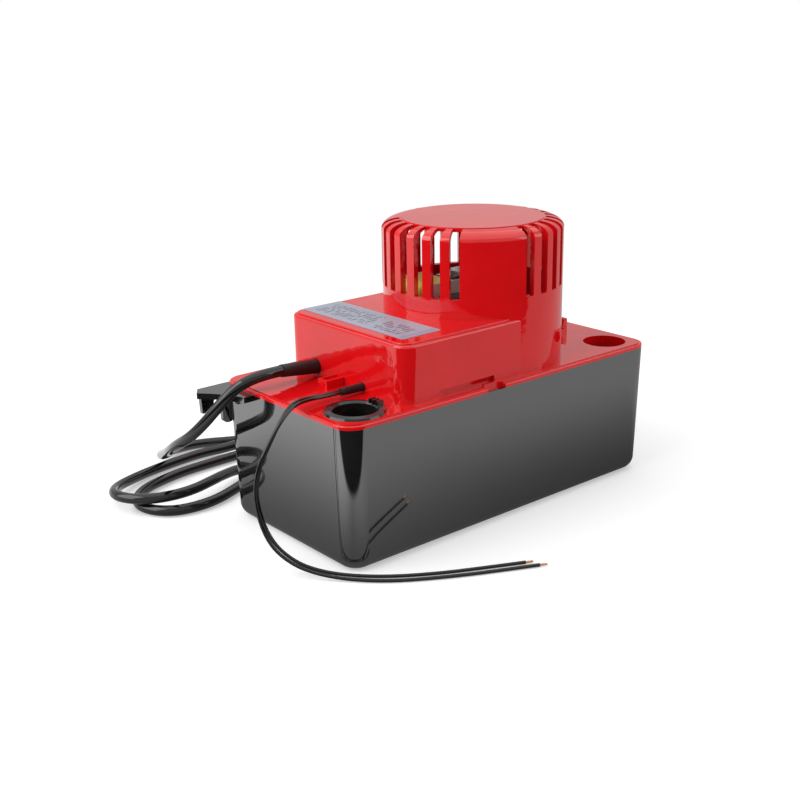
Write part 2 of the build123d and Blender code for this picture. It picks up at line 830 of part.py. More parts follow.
# Rotor with its end rings, and the shaft down to the impeller
rotor_axis = Axis((dome_x, 0, 0), (0, 0, 1))
with BuildPart() as rotor_core:
    with BuildSketch(Plane.XZ):
        bore = dome_x + shaft_radius + seat_gap
        with BuildLine():
            Polyline((bore, stack_bottom - end_ring_height), (dome_x + end_ring_radius,
                     stack_bottom - end_ring_height), (dome_x + end_ring_radius, stack_bottom),
                     (dome_x + rotor_radius, stack_bottom), (dome_x + rotor_radius, stack_top),
                     (dome_x + end_ring_radius, stack_top),
                     (dome_x + end_ring_radius, stack_top + end_ring_height),
                     (bore, stack_top + end_ring_height), close=True)
        make_face()
    revolve(axis=rotor_axis)
write(rotor_core.part, "rotor_core")

with BuildPart() as motor_shaft:
    with BuildSketch(Plane.XY.offset(shaft_bottom)):
        with Locations((dome_x, 0)):
            Circle(shaft_radius)
    extrude(amount=shaft_top - shaft_bottom)
    chamfer(motor_shaft.edges().filter_by(GeomType.CIRCLE), 0.4)
write(motor_shaft.part, "motor_shaft")

# Bearing brackets: a strap over the core and a longer one under it, down to the lid's posts
with BuildPart() as upper_bracket:
    half = stack_half_width - 1
    leg_inside = motor_screw_y - spacer_radius - bracket_sheet
    with BuildSketch(Plane.YZ.offset(dome_x - bracket_width / 2)):
        with BuildLine():
            Polyline((-half, stack_top), (-leg_inside, stack_top),
                     (-leg_inside, upper_plate_top - bracket_sheet),
                     (leg_inside, upper_plate_top - bracket_sheet), (leg_inside, stack_top),
                     (half, stack_top), (half, stack_top + bracket_sheet),
                     (leg_inside + bracket_sheet, stack_top + bracket_sheet),
                     (leg_inside + bracket_sheet, upper_plate_top),
                     (-leg_inside - bracket_sheet, upper_plate_top),
                     (-leg_inside - bracket_sheet, stack_top + bracket_sheet),
                     (-half, stack_top + bracket_sheet), close=True)
        make_face()
    extrude(amount=bracket_width)
    with BuildSketch(Plane.XY.offset(stack_top)):
        with Locations((dome_x, 0)):
            Circle(bearing_radius + seat_gap)
        with Locations((dome_x, motor_screw_y), (dome_x, -motor_screw_y)):
            Circle(motor_screw_radius + 0.1)
    extrude(amount=bracket_rise + 1, mode=Mode.SUBTRACT)
write(upper_bracket.part, "upper_bracket")

with BuildPart() as lower_bracket:
    with BuildSketch(Plane.XY.offset(post_top)):
        with Locations((dome_x, 0)):
            RectangleRounded(bracket_width, 2 * (post_y + post_radius), 4)
    extrude(amount=bracket_sheet)
    with BuildSketch(Plane.XY.offset(strap_top)):
        with Locations((dome_x, motor_screw_y), (dome_x, -motor_screw_y)):
            Circle(spacer_radius)
    extrude(amount=bracket_rise)
    with BuildSketch(Plane.XY.offset(post_top)):
        with Locations((dome_x, 0)):
            Circle(bearing_radius + seat_gap)
        with Locations((dome_x, motor_screw_y), (dome_x, -motor_screw_y)):
            Circle(motor_screw_radius + 0.1)
        with Locations((dome_x, post_y), (dome_x, -post_y)):
            Circle(post_screw_radius + 0.2)
    extrude(amount=bracket_sheet + bracket_rise, mode=Mode.SUBTRACT)
write(lower_bracket.part, "lower_bracket")

# Sleeve bearings seated in the brackets
for name, bearing_low in (("upper_bearing", upper_plate_top - bearing_height + bearing_stand_up),
                          ("lower_bearing", post_top - bearing_stand_down)):
    with BuildPart() as bearing:
        with BuildSketch(Plane.XY.offset(bearing_low)):
            with Locations((dome_x, 0)):
                Circle(bearing_radius)
                Circle(shaft_radius + bearing_gap, mode=Mode.SUBTRACT)
        extrude(amount=bearing_height)
        chamfer(bearing.edges().filter_by(GeomType.CIRCLE).group_by(SortBy.RADIUS)[-1], bearing_chamfer)
    write(bearing.part, name)

# Two long screws through the brackets and the core, two short ones into the posts
with BuildPart() as motor_screws:
    screw_top = stack_top + bracket_sheet
    with BuildSketch(Plane.XY.offset(post_top - motor_screw_tip)):
        with Locations((dome_x, motor_screw_y), (dome_x, -motor_screw_y)):
            Circle(motor_screw_radius)
    extrude(amount=screw_top - post_top + motor_screw_tip)
    with BuildSketch(Plane.XY.offset(screw_top)):
        with Locations((dome_x, motor_screw_y), (dome_x, -motor_screw_y)):
            Circle(motor_screw_head)
    extrude(amount=motor_screw_head_height)
    with BuildSketch(Plane.XY.offset(strap_top)):
        with Locations((dome_x, post_y), (dome_x, -post_y)):
            Circle(motor_screw_head)
    extrude(amount=motor_screw_head_height)
    with BuildSketch(Plane.XY.offset(strap_top)):
        with Locations((dome_x, post_y), (dome_x, -post_y)):
            Circle(post_screw_radius - seat_gap)
    extrude(amount=-post_screw_length)
write(motor_screws.part, "motor_screws")

# Fan on the shaft under the motor
with BuildPart() as cooling_fan:
    with BuildSketch(Plane.XY.offset(fan_bottom)):
        with Locations((dome_x, 0)):
            Circle(fan_radius)
    extrude(amount=fan_plate)
    with BuildSketch(Plane.XY.offset(fan_bottom)):
        with Locations((dome_x, 0)):
            Circle(fan_hub_radius)
            with PolarLocations((fan_hub_radius + fan_radius) / 2 - 1, fan_blade_count):
                Rectangle(fan_radius - fan_hub_radius + 1, fan_blade_wall, rotation=fan_blade_angle)
    extrude(amount=fan_height)
    with BuildSketch(Plane.XY.offset(fan_bottom)):
        with Locations((dome_x, 0)):
            Circle(shaft_radius + seat_gap)
    extrude(amount=fan_height, mode=Mode.SUBTRACT)
write(cooling_fan.part, "cooling_fan")

# Slinger that throws water off the shaft below the lid
with BuildPart() as shaft_slinger:
    with BuildSketch(Plane.XZ):
        bore = dome_x + shaft_radius + seat_gap
        with BuildLine():
            Polyline((bore, slinger_z), (dome_x + slinger_radius, slinger_z),
                     (dome_x + slinger_radius - slinger_rim / 2, slinger_z + slinger_rim),
                     (dome_x + slinger_neck_radius, slinger_z + slinger_web),
                     (dome_x + slinger_neck_radius, slinger_z + slinger_height),
                     (bore, slinger_z + slinger_height),
                     close=True)
        make_face()
    revolve(axis=rotor_axis)
write(shaft_slinger.part, "shaft_slinger")

# Column that hangs the pump under the lid, with windows for air and water
with BuildPart() as pump_column:
    with BuildSketch(Plane.XY.offset(volute_top)):
        with Locations((dome_x, 0)):
            Circle(column_outer)
    extrude(amount=tank_height - volute_top)
    for low, flange in ((tank_height - column_flange_height, column_flange),
                        (volute_top, volute_radius)):
        with BuildSketch(Plane.XY.offset(low)):
            with Locations((dome_x, 0)):
                Circle(flange)
        extrude(amount=column_flange_height)
    with BuildSketch(Plane.XY.offset(volute_top)):
        with Locations((dome_x, 0)):
            Circle(column_inner)
    extrude(amount=tank_height - volute_top, mode=Mode.SUBTRACT)
    for window in (tank_height - column_flange_height - column_window_height - column_window_drop,
                   volute_top + column_window_rise):
        with BuildSketch(Plane.XY.offset(window)):
            with Locations((dome_x, 0)):
                Rectangle(column_window_width, 3 * column_outer)
        extrude(amount=column_window_height, mode=Mode.SUBTRACT)
    with BuildSketch(Plane.XY.offset(tank_height - column_flange_height)):
        with Locations((dome_x, 0)):
            with PolarLocations(column_screw_circle, 3, start_angle=90):
                Circle(pump_screw_radius + 0.1)
    extrude(amount=column_flange_height, mode=Mode.SUBTRACT)
    with BuildSketch(Plane.XY.offset(volute_top)):
        with Locations((dome_x, 0)):
            with PolarLocations(volute_screw_circle, 3, start_angle=30):
                Circle(pump_screw_radius + seat_gap)
    extrude(amount=column_flange_height, mode=Mode.SUBTRACT)
write(pump_column.part, "pump_column")

# Volute with its tangential outlet
with BuildPart() as pump_volute:
    with BuildSketch(Plane.XY.offset(volute_bottom)):
        with Locations((dome_x, 0)):
            Circle(volute_radius)
    extrude(amount=volute_top - volute_bottom)
    outlet_z = (volute_bottom + volute_top - volute_roof) / 2 + 1
    with BuildSketch(Plane.YZ.offset(dome_x)):
        with Locations((outlet_y, outlet_z)):
            Circle(outlet_radius)
    extrude(amount=outlet_reach)
    with BuildSketch(Plane.XY.offset(volute_bottom)):
        with Locations((dome_x, 0)):
            Circle(volute_chamber)
    extrude(amount=volute_top - volute_roof - volute_bottom, mode=Mode.SUBTRACT)
    with BuildSketch(Plane.XY.offset(volute_bottom)):
        with Locations((dome_x, 0)):
            Circle(shaft_hole_radius)
            with PolarLocations(volute_screw_circle, 3, start_angle=30):
                Circle(pump_screw_radius + 0.1)
    extrude(amount=volute_top - volute_bottom, mode=Mode.SUBTRACT)
    with BuildSketch(Plane.YZ.offset(dome_x)):
        with Locations((outlet_y, outlet_z)):
            Circle(outlet_bore)
    extrude(amount=outlet_reach, mode=Mode.SUBTRACT)
write(pump_volute.part, "pump_volute")

# Bottom plate with the eye, on feet that keep grit out
with BuildPart() as inlet_plate:
    plate_low = volute_bottom - plate_height
    with BuildSketch(Plane.XY.offset(plate_low)):
        with Locations((dome_x, 0)):
            Circle(volute_radius)
            Circle(eye_radius, mode=Mode.SUBTRACT)
            with PolarLocations(volute_screw_circle, 3, start_angle=30):
                Circle(pump_screw_radius + 0.1, mode=Mode.SUBTRACT)
    extrude(amount=plate_height)
    with BuildSketch(Plane.XY.offset(tank_floor + foot_gap)):
        with Locations((dome_x, 0)):
            with PolarLocations(volute_radius - foot_width / 2 - foot_inset, foot_count):
                RectangleRounded(foot_width, foot_width - 1.5, 1)
    extrude(amount=plate_low - tank_floor - foot_gap)
write(inlet_plate.part, "inlet_plate")

with BuildPart() as impeller:
    plate_z = volute_top - volute_roof - impeller_clearance - impeller_plate
    vane_low = plate_z + impeller_plate - impeller_height
    with BuildSketch(Plane.XY.offset(plate_z)):
        with Locations((dome_x, 0)):
            Circle(impeller_radius)
    extrude(amount=impeller_plate)
    with BuildSketch(Plane.XY.offset(vane_low)):
        with Locations((dome_x, 0)):
            Circle(impeller_hub)
            with PolarLocations((impeller_hub + impeller_radius) / 2 - 0.5, impeller_vane_count):
                Rectangle(impeller_radius - impeller_hub, impeller_vane_wall, rotation=impeller_vane_angle)
    extrude(amount=impeller_height - impeller_plate)
    with BuildSketch(Plane.XY.offset(vane_low)):
        with Locations((dome_x, 0)):
            Circle(shaft_radius + seat_gap)
    extrude(amount=impeller_height, mode=Mode.SUBTRACT)
write(impeller.part, "impeller")

# Screws of the pump: three into the lid, three up through plate and volute
with BuildPart() as pump_screws:
    for circle, first, low, length, radius in (
            (column_screw_circle, 90, tank_height - column_flange_height,
             lid_thickness + column_screw_reach, pump_screw_radius - pump_screw_grip),
            (volute_screw_circle, 30, volute_bottom - plate_height,
             volute_top - volute_bottom + volute_screw_reach, pump_screw_radius)):
        with BuildSketch(Plane.XY.offset(low)):
            with Locations((dome_x, 0)):
                with PolarLocations(circle, 3, start_angle=first):
                    Circle(radius)
        extrude(amount=length)
        with BuildSketch(Plane.XY.offset(low)):
            with Locations((dome_x, 0)):
                with PolarLocations(circle, 3, start_angle=first):
                    Circle(pump_screw_head)
        extrude(amount=-pump_screw_head_height)
write(pump_screws.part, "pump_screws")

# Hose from the volute to the check valve
valve_low = tank_height - valve_below_lid
spigot_low = valve_low - valve_spigot_length
hose_start = dome_x + outlet_reach - hose_fit
with BuildPart() as discharge_hose:
    with BuildLine(mode=Mode.PRIVATE) as hose_line:
        FilletPolyline((hose_start, outlet_y, outlet_z), (hose_start + hose_run, outlet_y, outlet_z),
                       (valve_x, valve_y, outlet_z + hose_rise),
                       (valve_x, valve_y, spigot_low + hose_fit),
                       radius=[hose_bend_low, hose_bend_high])
    with BuildSketch(Plane.YZ.offset(hose_start)):
        with Locations((outlet_y, outlet_z)):
            Circle(hose_outer)
            Circle(hose_inner, mode=Mode.SUBTRACT)
    sweep(path=hose_line.wires()[0])
write(discharge_hose.part, "discharge_hose")

# Check valve: body through the lid, nut under it, gasket, poppet and the barb on top
valve_axis = Axis((valve_x, valve_y, 0), (0, 0, 1))
valve_section = Plane(origin=(valve_x, valve_y, 0), x_dir=(1, 0, 0), z_dir=(0, -1, 0))
flange_low = lid_top + gasket_height
valve_top = lid_top + valve_above_lid
seat_z = valve_low + 4
with BuildPart() as check_valve_body:
    with BuildSketch(valve_section):
        with BuildLine():
            Polyline((outlet_bore, spigot_low), (outlet_radius, spigot_low), (outlet_radius, valve_low),
                     (valve_body_radius, valve_low), (valve_body_radius, flange_low),
                     (valve_flange_radius, flange_low),
                     (valve_flange_radius, flange_low + valve_flange_height),
                     (valve_body_radius, flange_low + valve_flange_height),
                     (valve_body_radius, valve_top), (valve_chamber, valve_top),
                     (valve_chamber, seat_z), (valve_seat_radius, seat_z),
                     (outlet_bore, valve_low), close=True)
        make_face()
    revolve(axis=valve_axis)
write(check_valve_body.part, "check_valve_body")

with BuildPart() as check_valve_nut:
    with BuildSketch(Plane.XY.offset(tank_height - valve_nut_height)):
        with Locations((valve_x, valve_y)):
            RegularPolygon(valve_flange_radius + 0.6, 6)
            Circle(valve_body_radius + seat_gap, mode=Mode.SUBTRACT)
    extrude(amount=valve_nut_height)
write(check_valve_nut.part, "check_valve_nut")

with BuildPart() as check_valve_gasket:
    with BuildSketch(Plane.XY.offset(lid_top)):
        with Locations((valve_x, valve_y)):
            Circle(valve_flange_radius - 0.4)
            Circle(valve_body_radius + 0.1, mode=Mode.SUBTRACT)
    extrude(amount=gasket_height)
write(check_valve_gasket.part, "check_valve_gasket")

with BuildPart() as check_valve_poppet:
    with BuildSketch(valve_section):
        with BuildLine():
            Polyline((0, seat_z + 0.05), (poppet_radius, seat_z + 0.05),
                     (poppet_radius, seat_z + poppet_height - 0.6),
                     (poppet_radius - 0.6, seat_z + poppet_height),
                     (poppet_stem_radius, seat_z + poppet_height),
                     (poppet_stem_radius, seat_z + poppet_height + poppet_stem_length),
                     (0, seat_z + poppet_height + poppet_stem_length), close=True)
        make_face()
    revolve(axis=valve_axis)
write(check_valve_poppet.part, "check_valve_poppet")

with BuildPart() as discharge_barb:
    barb_low = valve_top + barb_flange_height
    barb_tip = barb_low + barb_length
    with BuildSketch(valve_section):
        with BuildLine():
            teeth = []
            for tooth in range(barb_count):
                low = barb_tip - barb_pitch * (barb_count - tooth)
                teeth += [(barb_radius, low), (barb_radius + barb_tooth, low),
                          (barb_radius, low + 0.9 * barb_pitch)]
            Polyline((barb_bore, valve_top - barb_plug_depth),
                     (valve_chamber - seat_gap, valve_top - barb_plug_depth),
                     (valve_chamber - seat_gap, valve_top), (barb_flange_radius, valve_top),
                     (barb_flange_radius, barb_low), (barb_radius, barb_low), *teeth,
                     (barb_radius, barb_tip), (barb_bore, barb_tip), close=True)
        make_face()
    revolve(axis=valve_axis)
write(discharge_barb.part, "discharge_barb")

# Float and its rod, guided by the lid
with BuildPart() as float_block:
    with BuildSketch(Plane.XY.offset(float_bottom)):
        with Locations((rod_x, float_y)):
            RectangleRounded(float_length, float_width, float_fillet)
    extrude(amount=float_height)
    chamfer(float_block.edges().group_by(Axis.Z)[0] + float_block.edges().group_by(Axis.Z)[-1], 1.5)
    with BuildSketch(Plane.XY.offset(float_bottom)):
        with Locations((rod_x, rod_y)):
            Circle(rod_radius + seat_gap)
    extrude(amount=float_height, mode=Mode.SUBTRACT)
write(float_block.part, "float_block")

fork_half = lever_width / 2 + fork_gap
fork_low = lid_top + fork_stand
fork_floor = fork_low + fork_floor_height
fork_top = rod_pin_z + fork_height / 2
with BuildPart() as float_rod:
    with BuildSketch(Plane.XY.offset(float_bottom - rod_washer)):
        with Locations((rod_x, rod_y)):
            Circle(rod_radius)
    extrude(amount=fork_low - float_bottom + rod_washer)
    for washer_low in (float_bottom - rod_washer, float_bottom + float_height):
        with BuildSketch(Plane.XY.offset(washer_low)):
            with Locations((rod_x, rod_y)):
                Circle(2 * rod_radius)
        extrude(amount=rod_washer)
    with BuildSketch(Plane.XY.offset(fork_low)):
        with Locations((rod_x, rod_y)):
            Rectangle(fork_height, 2 * (fork_half + fork_wall))
    extrude(amount=fork_top - fork_low)
    with BuildSketch(Plane.XY.offset(fork_floor)):
        with Locations((rod_x, rod_y)):
            Rectangle(fork_height, 2 * fork_half)
    extrude(amount=fork_top - fork_floor, mode=Mode.SUBTRACT)
    with BuildSketch(Plane.XZ.offset(-rod_y - fork_half - fork_wall)):
        with Locations((rod_x, rod_pin_z)):
            Circle(rod_pin_radius)
    extrude(amount=2 * (fork_half + fork_wall))
write(float_rod.part, "float_rod")

# Rocker lever between the float rod and the switch buttons
lever_plane = Plane(origin=(pivot_x, rod_y, pivot_height), x_dir=(
    -math.cos(math.radians(lever_swing)), 0, -math.sin(math.radians(lever_swing))), z_dir=(0, 1, 0))
with BuildPart() as switch_lever:
    with BuildSketch(lever_plane.offset(-lever_width / 2)):
        Circle(lever_hub_radius)
        with Locations((lever_arm / 2, 0)):
            Rectangle(lever_arm, lever_thickness)
        with Locations((lever_arm, 0)):
            SlotOverall(lever_eye_length, lever_eye_width)
        with Locations((lever_arm, 0)):
            SlotCenterToCenter(lever_eye_slot, 2 * rod_pin_radius + lever_eye_slack,
                               mode=Mode.SUBTRACT)
    extrude(amount=lever_width)
    with BuildSketch(lever_plane.offset(-lever_paddle_width / 2)):
        with Locations((lever_arm / 2 - paddle_shift, 0)):
            Rectangle(lever_paddle_length, lever_thickness)
    extrude(amount=lever_paddle_width)
    with BuildSketch(lever_plane.offset(-lever_width)):
        Circle(lever_hub_radius)
    extrude(amount=2 * lever_width)
    with BuildSketch(lever_plane.offset(-lever_width)):
        Circle(pivot_pin_radius + bearing_gap)
    extrude(amount=2 * lever_width, mode=Mode.SUBTRACT)
write(switch_lever.part, "switch_lever")

# Bracket on the lid with two cheeks for the pivot pin and a shelf that carries the switches
cheek_y = lever_width + cheek_gap
switch_top = switch_bottom + switch_height
with BuildPart() as switch_bracket:
    for side in (-1, 1):
        with BuildSketch(Plane.XZ.offset(-rod_y - side * cheek_y)):
            with BuildLine():
                Polyline((pivot_x - cheek_front, lid_top), (pivot_x + cheek_back, lid_top),
                         (pivot_x + cheek_back, pivot_height + cheek_rise),
                         (pivot_x - cheek_front, pivot_height + cheek_rise), close=True)
            make_face()
        extrude(amount=-side * bracket_plate)
    with BuildSketch(Plane.XY.offset(lid_top)):
        with Locations((pivot_x + shelf_x, rod_y)):
            Rectangle(bracket_plate * 2, switch_spacing + switch_width)
    extrude(amount=switch_top - lid_top)
    with BuildSketch(Plane.XZ.offset(-rod_y)):
        with Locations((pivot_x, pivot_height)):
            Circle(pivot_pin_radius + seat_gap)
    extrude(amount=3 * cheek_y, both=True, mode=Mode.SUBTRACT)
write(switch_bracket.part, "switch_bracket")

with BuildPart() as pivot_pin:
    with BuildSketch(Plane.XZ.offset(-rod_y - cheek_y - bracket_plate - pin_stand)):
        with Locations((pivot_x, pivot_height)):
            Circle(pivot_pin_radius)
    extrude(amount=2 * (cheek_y + bracket_plate + pin_stand))
write(pivot_pin.part, "pivot_pin")

# Run and safety switches with their buttons
switch_end = pivot_x + shelf_x - bracket_plate
for name, side in (("run_switch", 1), ("safety_switch", -1)):
    middle_y = rod_y + side * switch_spacing / 2
    with BuildPart() as switch_body:
        with BuildSketch(Plane.XY.offset(switch_bottom)):
            with Locations(((switch_x - switch_nose + switch_end) / 2, middle_y)):
                Rectangle(switch_end - switch_x + switch_nose, switch_width)
        extrude(amount=switch_height)
        with BuildSketch(Plane.XY.offset(switch_bottom)):
            with Locations((switch_x, middle_y)):
                Circle(button_radius + button_gap)
        extrude(amount=button_bore_depth, mode=Mode.SUBTRACT)
    write(switch_body.part, name)
    with BuildPart() as button:
        with BuildSketch(Plane.XY.offset(switch_bottom - button_stand)):
            with Locations((switch_x, middle_y)):
                Circle(button_radius)
        extrude(amount=button_stand + button_depth)
    write(button.part, f"{name}_button")

# Power cord: the stretch from the strain relief to the hank
with BuildPart() as power_cord:
    with BuildLine(mode=Mode.PRIVATE) as cord_line:
        FilletPolyline(*cord_route, radius=cord_path(cord_route))
    with BuildSketch(Plane(origin=cord_route[0], z_dir=Vector(cord_route[1]) - Vector(cord_route[0]))):
        Circle(cord_radius)
    sweep(path=cord_line.wires()[0])
write(power_cord.part, "power_cord")
print_route("power_cord", cord_route, cord_radius, power_cord.part.volume)

# Hank of the rest of the cord on the floor behind the tank, with the tie sunk into its strands
tie_plane = Plane.YZ.offset(tie_x - tie_width / 2)
strand_low = hank_y + hank_hole_radius
strand_high = hank_y + hank_radius
with BuildSketch(mode=Mode.PRIVATE) as tie_ring:
    with Locations(((strand_low + strand_high) / 2, hank_height / 2)):
        Rectangle(strand_high - strand_low, hank_height)
        RectangleRounded(strand_high - strand_low - 2 * tie_wall, hank_height - 2 * tie_wall, 3,
                         mode=Mode.SUBTRACT)
tie_section = tie_ring.sketch
with BuildPart() as power_cord_hank:
    with BuildSketch():
        for start, end, radius, mode in (
                (hank_start_x, hank_end_x, hank_radius, Mode.ADD),
                (hank_hole_start, hank_hole_end, hank_hole_radius, Mode.SUBTRACT)):
            with Locations(((start + end) / 2, hank_y)):
                SlotCenterToCenter(end - start, 2 * radius, mode=mode)
    extrude(amount=hank_height)
    with BuildSketch(tie_plane.offset(-tie_gap)):
        add(tie_section)
    extrude(amount=tie_width + 2 * tie_gap, mode=Mode.SUBTRACT)
write(power_cord_hank.part, "power_cord_hank")

with BuildPart() as hank_tie:
    with BuildSketch(tie_plane):
        add(tie_section)
    extrude(amount=tie_width)
write(hank_tie.part, "hank_tie")

# Plug with its tapered collar, and its blades
plug_middle = plug_height / 2
plug_back_x = plug_front_x - plug_length
with BuildPart() as plug_body:
    with BuildSketch(Plane.YZ.offset(plug_front_x)):
        with Locations((plug_y, plug_middle)):
            RectangleRounded(plug_width, plug_height, plug_fillet)
    with BuildSketch(Plane.YZ.offset(plug_back_x)):
        with Locations((plug_y, plug_middle)):
            RectangleRounded(plug_width - plug_taper_width, plug_height - plug_taper_height,
                             plug_fillet)
    loft()
    with BuildSketch(Plane.YZ.offset(plug_back_x)):
        with Locations((plug_y, plug_middle)):
            Circle(plug_collar_inner_radius)
    with BuildSketch(Plane.YZ.offset(plug_collar_end_x)):
        with Locations((plug_y, plug_middle - plug_collar_drop)):
            Circle(plug_collar_radius)
    loft()
write(plug_body.part, "plug_body")

with BuildPart() as plug_blades:
    with BuildSketch(Plane.YZ.offset(plug_front_x)):
        with Locations((plug_y - blade_spacing / 2, plug_middle - blade_drop),
                       (plug_y + blade_spacing / 2, plug_middle - blade_drop)):
            Rectangle(blade_thickness, blade_width)
    extrude(amount=blade_length)
    with BuildSketch(Plane.YZ.offset(plug_front_x)):
        with Locations((plug_y, plug_middle - blade_drop + ground_offset)):
            Circle(ground_radius)
    extrude(amount=ground_length)
write(plug_blades.part, "plug_blades")

# Twin leads from the safety switch and their bare ends
strips = []
for name, route in (("switch_lead_a", lead_a_route), ("switch_lead_b", lead_b_route)):
    with BuildPart() as lead:
        with BuildLine(mode=Mode.PRIVATE) as lead_line:
            FilletPolyline(*route, radius=cord_path(route))
        with BuildSketch(Plane(origin=route[0], z_dir=Vector(route[1]) - Vector(route[0]))):
            Circle(lead_radius)
        sweep(path=lead_line.wires()[0])
    write(lead.part, name)
    print_route(name, route, lead_radius, lead.part.volume)
    along = (Vector(route[-1]) - Vector(route[-2])).normalized()
    with BuildPart() as strip:
        with BuildSketch(Plane(origin=route[-1], z_dir=along)):
            Circle(strip_radius)
        extrude(amount=strip_length)
    strips.append(strip.part)
with BuildPart() as lead_strips:
    for piece in strips:
        add(piece)
write(lead_strips.part, "lead_strips")
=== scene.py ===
"""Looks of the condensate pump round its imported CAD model. Metres, same frame as the CAD."""

import math

import bpy
from mathutils import Matrix, Vector


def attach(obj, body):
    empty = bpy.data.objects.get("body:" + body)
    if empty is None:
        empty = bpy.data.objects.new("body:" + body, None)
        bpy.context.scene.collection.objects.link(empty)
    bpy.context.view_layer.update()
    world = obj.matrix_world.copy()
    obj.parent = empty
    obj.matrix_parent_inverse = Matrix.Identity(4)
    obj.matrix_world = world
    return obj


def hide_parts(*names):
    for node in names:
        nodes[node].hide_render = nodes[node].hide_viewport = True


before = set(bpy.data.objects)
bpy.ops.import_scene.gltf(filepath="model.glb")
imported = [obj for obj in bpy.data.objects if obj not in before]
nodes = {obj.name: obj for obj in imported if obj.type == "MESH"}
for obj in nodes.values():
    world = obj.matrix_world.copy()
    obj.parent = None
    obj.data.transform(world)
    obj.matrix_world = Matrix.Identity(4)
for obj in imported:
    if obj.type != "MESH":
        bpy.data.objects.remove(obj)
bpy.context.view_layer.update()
scene = bpy.context.scene
MM = 0.001
WHITE = (1, 1, 1, 1)

# Camera fitted to the photograph, with angles in degrees, its place in metres and the lens in millimetres
CAMERA_AZIMUTH = -39.695
CAMERA_ELEVATION = 18.482
CAMERA_ROLL = -1.035
CAMERA_PLACE = (-0.5384, -0.5992, 0.3376)
CAMERA_LENS = 53.70
CAMERA_SENSOR = 36
CLIP_NEAR, CLIP_FAR = 0.01, 50


def set_camera():
    """A camera at the photograph's place, looking as it looked."""
    azimuth = math.radians(CAMERA_AZIMUTH)
    elevation = math.radians(CAMERA_ELEVATION)
    roll = math.radians(CAMERA_ROLL)
    back = Vector((math.sin(azimuth) * math.cos(elevation), -math.cos(azimuth) * math.cos(elevation),
                   math.sin(elevation)))
    level = Vector((math.cos(azimuth), math.sin(azimuth), 0))
    rise = back.cross(level)
    right = math.cos(roll) * level + math.sin(roll) * rise
    up = back.cross(right)
    data = bpy.data.cameras.new("camera")
    data.sensor_width = CAMERA_SENSOR
    data.lens = CAMERA_LENS
    data.clip_start, data.clip_end = CLIP_NEAR, CLIP_FAR
    camera = bpy.data.objects.new("camera", data)
    scene.collection.objects.link(camera)
    turn = Matrix((right, up, back)).transposed().to_4x4()
    camera.matrix_world = Matrix.Translation(CAMERA_PLACE) @ turn
    scene.camera = camera


set_camera()

# Cords, with their radii and points in millimetres
LEAD_RADIUS = 3.8
TWIN_RADIUS = 1.15
SECTION_STEPS = 5
LENGTH_STEPS = 10
SPLINE_ORDER = 3
TURN_STEPS = 6
TURN_LEAD_IN = 0.52


def cord_curve(name, points, radius):
    """A smooth free line through given control points in millimetres, with a round section."""
    data = bpy.data.curves.new(name, "CURVE")
    data.dimensions = "3D"
    data.bevel_depth = radius * MM
    data.bevel_resolution = SECTION_STEPS
    data.resolution_u = LENGTH_STEPS
    data.use_fill_caps = True
    spline = data.splines.new("NURBS")
    spline.points.add(len(points) - 1)
    for place, point in zip(spline.points, points):
        place.co = (point[0] * MM, point[1] * MM, point[2] * MM, 1)
    spline.use_endpoint_u = True
    spline.order_u = SPLINE_ORDER
    obj = bpy.data.objects.new(name, data)
    scene.collection.objects.link(obj)
    return obj


def turn_round(x, y, radius, height):
    """Points of one turn round the +X end of the hank, from its back run to its front run."""
    lead_in = TURN_LEAD_IN * radius
    turned = [(x - lead_in, y + radius, height)]
    for step in range(TURN_STEPS + 1):
        angle = math.radians(90 - 180 / TURN_STEPS * step)
        turned.append((x + radius * math.cos(angle), y + radius * math.sin(angle), height))
    turned.append((x - lead_in, y - radius, height))
    return turned


cord_points = [
    # From the strain relief, out over the end of the tank and down to the floor
    (-118.0, 29.3, 107.9),
    (-134.5, 29.2, 108.5),
    (-151.0, 34.8, 101.8),
    (-159.5, 43.2, 88.6),
    (-165.5, 52.5, 76.0),
    (-170.5, 64.0, 64.5),
    (-170.5, 82.0, 54.5),
    (-164.5, 102.0, 44.0),
    (-156.0, 123.0, 34.0),
    (-147.5, 144.0, 24.5),
    (-139.5, 164.0, 16.0),
    (-130.0, 182.0, 8.5),
    (-114.0, 195.5, 4.3),
    (-91.0, 196.0, 3.9),
    (-66.0, 182.0, 3.9),
    (-42.0, 169.0, 3.9),
    (-14.0, 164.0, 3.9),
]
# First turn of the hank, then the lower loop at its left end
cord_points += turn_round(36.0, 127.0, 37.0, 3.9)
cord_points += [
    (-30.0, 90.0, 3.9),
    (-72.0, 97.5, 3.9),
    (-100.0, 104.0, 3.9),
    (-119.0, 95.0, 3.9),
    (-138.0, 87.5, 3.9),
    (-155.0, 85.5, 3.9),
    (-172.0, 89.0, 3.9),
    (-183.5, 101.0, 3.9),
    (-186.0, 117.0, 3.9),
    (-178.0, 132.0, 3.9),
    (-163.5, 141.5, 3.9),
    (-147.0, 146.5, 3.9),
    (-128.0, 150.5, 3.9),
    (-100.0, 151.5, 3.9),
    (-60.0, 152.0, 3.9),
    (-20.0, 154.0, 3.9),
]
